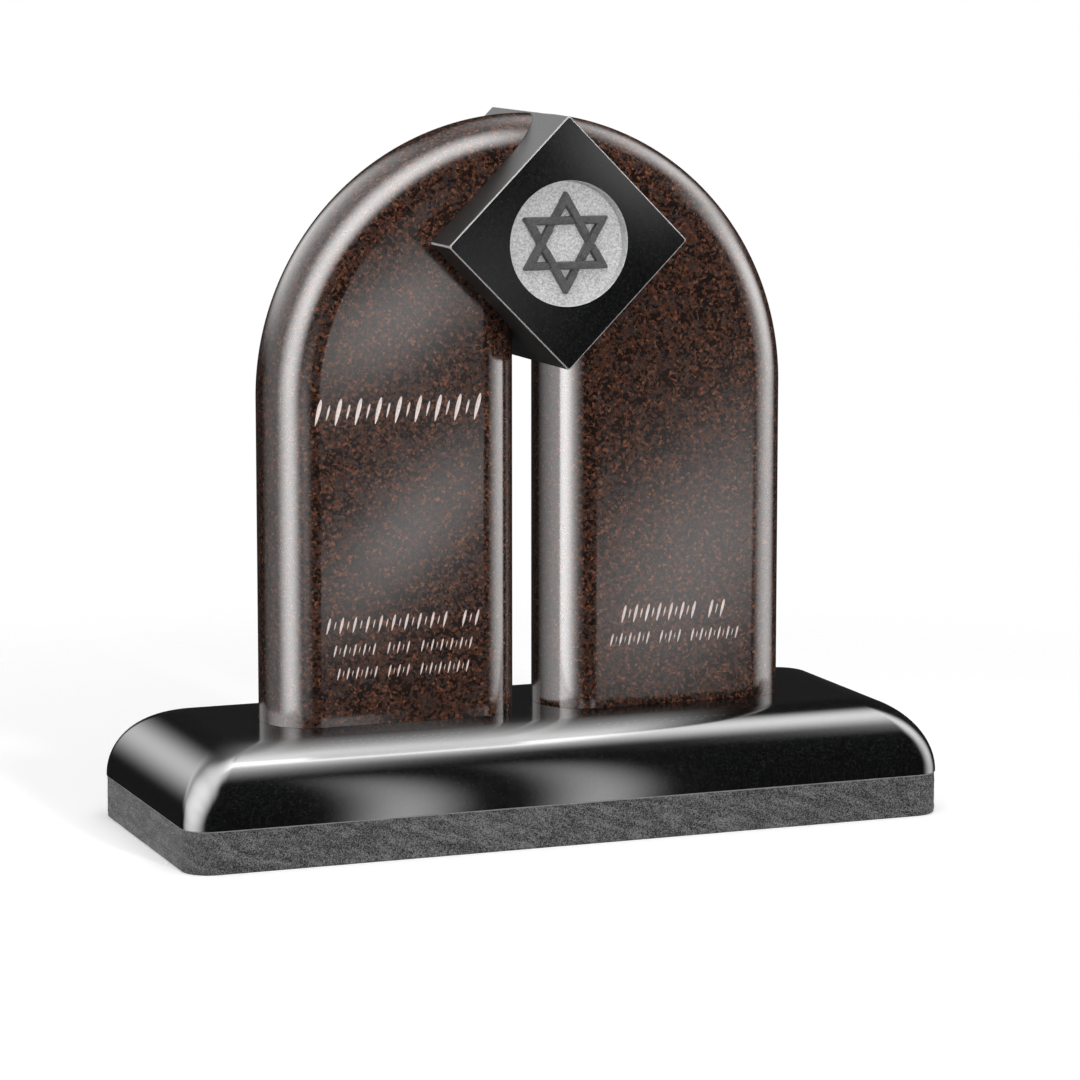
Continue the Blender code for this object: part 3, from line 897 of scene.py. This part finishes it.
def area_lamp(name, size, energy):
    """A rectangular lamp that the camera doesn't see."""
    data = bpy.data.lights.new(name, "AREA")
    data.shape = "RECTANGLE"
    data.size, data.size_y = size
    data.energy = energy
    lamp = bpy.data.objects.new(name, data)
    bpy.context.scene.collection.objects.link(lamp)
    lamp.visible_camera = False
    return lamp


def soft_light(name, place, aim, size, energy):
    """A lamp that lights matt surfaces and doesn't show in the polish."""
    lamp = area_lamp(name, size, energy)
    place = np.array(place)
    way = np.array(aim) - place
    way = way / np.linalg.norm(way)
    yaw = math.atan2(way[0], way[1])
    pitch = math.asin(way[2])
    lamp.location = place
    lamp.rotation_euler = (math.pi / 2 + pitch, 0, -yaw)
    lamp.visible_glossy = False


def reflector(name, place, facing, size, glow, soft, seen_by):
    """A card of light that shows only in the polish of the stones in seen_by. facing turns it: its right, its
    top and its back, and it shines away from its back. soft gives the shares over which it fades."""
    lamp = area_lamp(name, size, glow * size[0] * size[1] * math.pi)
    lamp.location = place
    lamp.rotation_euler = Matrix(np.array(facing).T).to_euler()
    lamp.visible_diffuse = False
    lamp.light_linking.receiver_collection = seen_by
    lamp.data.use_nodes = True
    tree = lamp.data.node_tree
    spot = add_node(tree, "ShaderNodeNewGeometry").outputs["Parametric"]
    across, up, _ = add_node(tree, "ShaderNodeSeparateXYZ", {"Vector": spot}).outputs
    edges = ((across, 0.0, soft[0]), (across, 1.0, 1 - soft[1]), (up, 0.0, soft[2]), (up, 1.0, 1 - soft[3]))
    level = 1.0
    for part, edge, full in edges:
        if edge != full:
            level = maths(tree, "MULTIPLY", spread(tree, part, edge, full), level)
    tree.links.new(level, tree.nodes["Emission"].inputs["Strength"])


def card_arch(name, cards, seen_by):
    """An arch of overlapping cards round the stone, which draws a streak along every rounded edge. Each has
    its angle up from the right, its brightness, how far forward or back it lies and its depth, both as
    shares of the arch's radius. Neighbours fade into each other, so that their sum is smooth."""
    for angle, glow, ahead, depth in cards:
        turn = math.radians(angle)
        out = np.array([math.cos(turn), 0.0, math.sin(turn)])
        along = np.array([-math.sin(turn), 0.0, math.cos(turn)])
        level = math.sqrt(1 - ahead ** 2)
        back = out * level + (0.0, ahead, 0.0)
        top = np.cross(back, along)
        size = (2 * math.tan(ARCH_STEP) * level * CARD_DISTANCE, 2 * depth * CARD_DISTANCE)
        place = back * CARD_DISTANCE + ARCH_MIDDLE
        reflector(name, place, (along, top, back), size, glow, ALL_SOFT, seen_by)


def upright(turn=0.0):
    """The facing of an upright card that looks at the stone's front, turned in its own plane."""
    across = np.array([math.cos(turn), 0.0, math.sin(turn)])
    up = np.array([-math.sin(turn), 0.0, math.cos(turn)])
    return across, up, np.cross(across, up)


def group_of(name, stones):
    """A collection of stones for a card to light."""
    group = bpy.data.collections.new(name)
    for stone in stones:
        group.objects.link(stone)
    return group


def build_lights(base, left, right, block):
    """The lamps, and the cards of light with the stones that each of them lights."""
    only_base = group_of("base only", (base,))
    only_left = group_of("left tablet only", (left,))
    only_right = group_of("right tablet only", (right,))
    only_block = group_of("block only", (block,))
    only_upper = group_of("upper stones only", (left, right, block))
    for lamp in LAMPS:
        soft_light(*lamp)
    card_arch("upper_arch", UPPER_ARCH, only_upper)
    card_arch("upper_glow", UPPER_GLOW, only_upper)
    reflector("side_card", facing=upright(), seen_by=only_upper, **SIDE_CARD)
    card_arch("base_arch", BASE_ARCH, only_base)
    for cards, seen_by in ((LEFT_CARDS, only_left), (RIGHT_CARDS, only_right), (BLOCK_CARDS, only_block)):
        for x, z, size, glow, slant in cards:
            facing = upright(math.radians(slant))
            reflector("front_card", (x, FRONT_CARD_Y, z), facing, size, glow, ALL_SOFT, seen_by)
    for place in TALL_CARD_PLACES:
        reflector("tall_card", place, facing=upright(), seen_by=only_base, **TALL_CARD)
    sine, cosine = math.sin(BAND_CARD_LEAN), math.cos(BAND_CARD_LEAN)
    leaning = ((-1, 0, 0), (0, -sine, cosine), (0, cosine, sine))
    reflector("band_card", facing=leaning, seen_by=only_base, **BAND_CARD)
    reflector("gap_card", facing=GAP_CARD_FACING, seen_by=only_right, **GAP_CARD)


def build_floor():
    """A pale floor whose edge fades into the white surroundings."""
    steps = 96
    reach = 6
    fade_start, fade_end = 0.95, 2.7
    turn = np.arange(steps) / steps * 2 * math.pi
    points = np.stack([reach * np.cos(turn), reach * np.sin(turn), 0 * turn], axis=-1)
    mesh = make_mesh("floor", points, np.zeros((0, 4), dtype=int), [np.arange(steps)])
    material, tree, shader = new_material("pale floor")
    length = add_node(tree, "ShaderNodeVectorMath", {0: own_place(tree)}, operation="LENGTH").outputs["Value"]
    feed(tree, shader, Alpha=spread(tree, length, fade_start, fade_end, start=1.0, end=0.0))
    shader.inputs["Base Color"].default_value = grey(0.90)
    shader.inputs["Emission Color"].default_value = grey(1.0)
    shader.inputs["Emission Strength"].default_value = 0.3
    shader.inputs["Roughness"].default_value = 0.9
    shader.inputs["Specular IOR Level"].default_value = 0.0
    floor = add_piece("floor", mesh, [material])
    floor.visible_glossy = False
    floor.visible_shadow = False
    floor.visible_diffuse = False


def build_camera():
    """The camera looks at the target along the way that yaw and pitch give, from the view's distance."""
    way = np.array([
        math.sin(VIEW_YAW) * math.cos(VIEW_PITCH),
        math.cos(VIEW_YAW) * math.cos(VIEW_PITCH),
        -math.sin(VIEW_PITCH),
    ])
    data = bpy.data.cameras.new("camera")
    data.lens = FOCAL_LENGTH
    data.sensor_width = SENSOR_WIDTH
    data.clip_end = FARTHEST_SEEN
    camera = bpy.data.objects.new("camera", data)
    camera.location = np.array(VIEW_TARGET) - way * VIEW_DISTANCE
    camera.rotation_euler = (math.pi / 2 - VIEW_PITCH, 0, -VIEW_YAW)
    bpy.context.scene.collection.objects.link(camera)
    bpy.context.scene.camera = camera


def build_pieces():
    """Builds the pieces and gives each its place in the frame. Returns the four stones."""
    crystals, polish, frost = crystal_group(), polish_group(), frost_group()
    black = black_granite(crystals, polish)
    mahogany = mahogany_granite(crystals, polish)
    pale, deep = (0.86, 0.76, 0.73, 1.0), (0.60, 0.50, 0.47, 1.0)
    carved = frosted_stone("frosted strokes", frost, grains=700.0, pale=pale, deep=deep, depth=0.0003)
    pale, deep = grey(0.66), grey(0.34)
    field = frosted_stone("pecked grey field", frost, grains=420.0, pale=pale, deep=deep, depth=0.0004)
    pale, deep = grey(0.42), grey(0.20)
    sawn = frosted_stone("unpolished arris", frost, grains=700.0, pale=pale, deep=deep, depth=0.0002)
    base = build_base(black, sawn_band(frost))
    left = build_tablet("left_tablet_stone", -1, LEFT_ROWS, LEFT_COUNTS, mahogany, carved)
    right = build_tablet("right_tablet_stone", 1, RIGHT_ROWS, RIGHT_COUNTS, mahogany, carved)
    block = build_block(black, field, sawn, honed_granite(crystals))
    star = honed_star(frost)
    star_down = star_frame("star_down", math.radians(90), star)
    star_up = star_frame("star_up", math.radians(30), star)
    stones = (
        (base, "base", "black_granite"),
        (left, "left_tablet", "mahogany_granite"),
        (right, "right_tablet", "mahogany_granite"),
        (block, "medallion_block", "black_granite"),
        (star_down, "medallion_block", "black_granite"),
        (star_up, "medallion_block", "black_granite"),
    )
    for piece, node, slot in stones:
        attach(piece, "root")
        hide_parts(node)
    return base, left, right, block


build_camera()
build_sky()
build_floor()
build_lights(*build_pieces())
bpy.context.scene.view_settings.view_transform = "Standard"
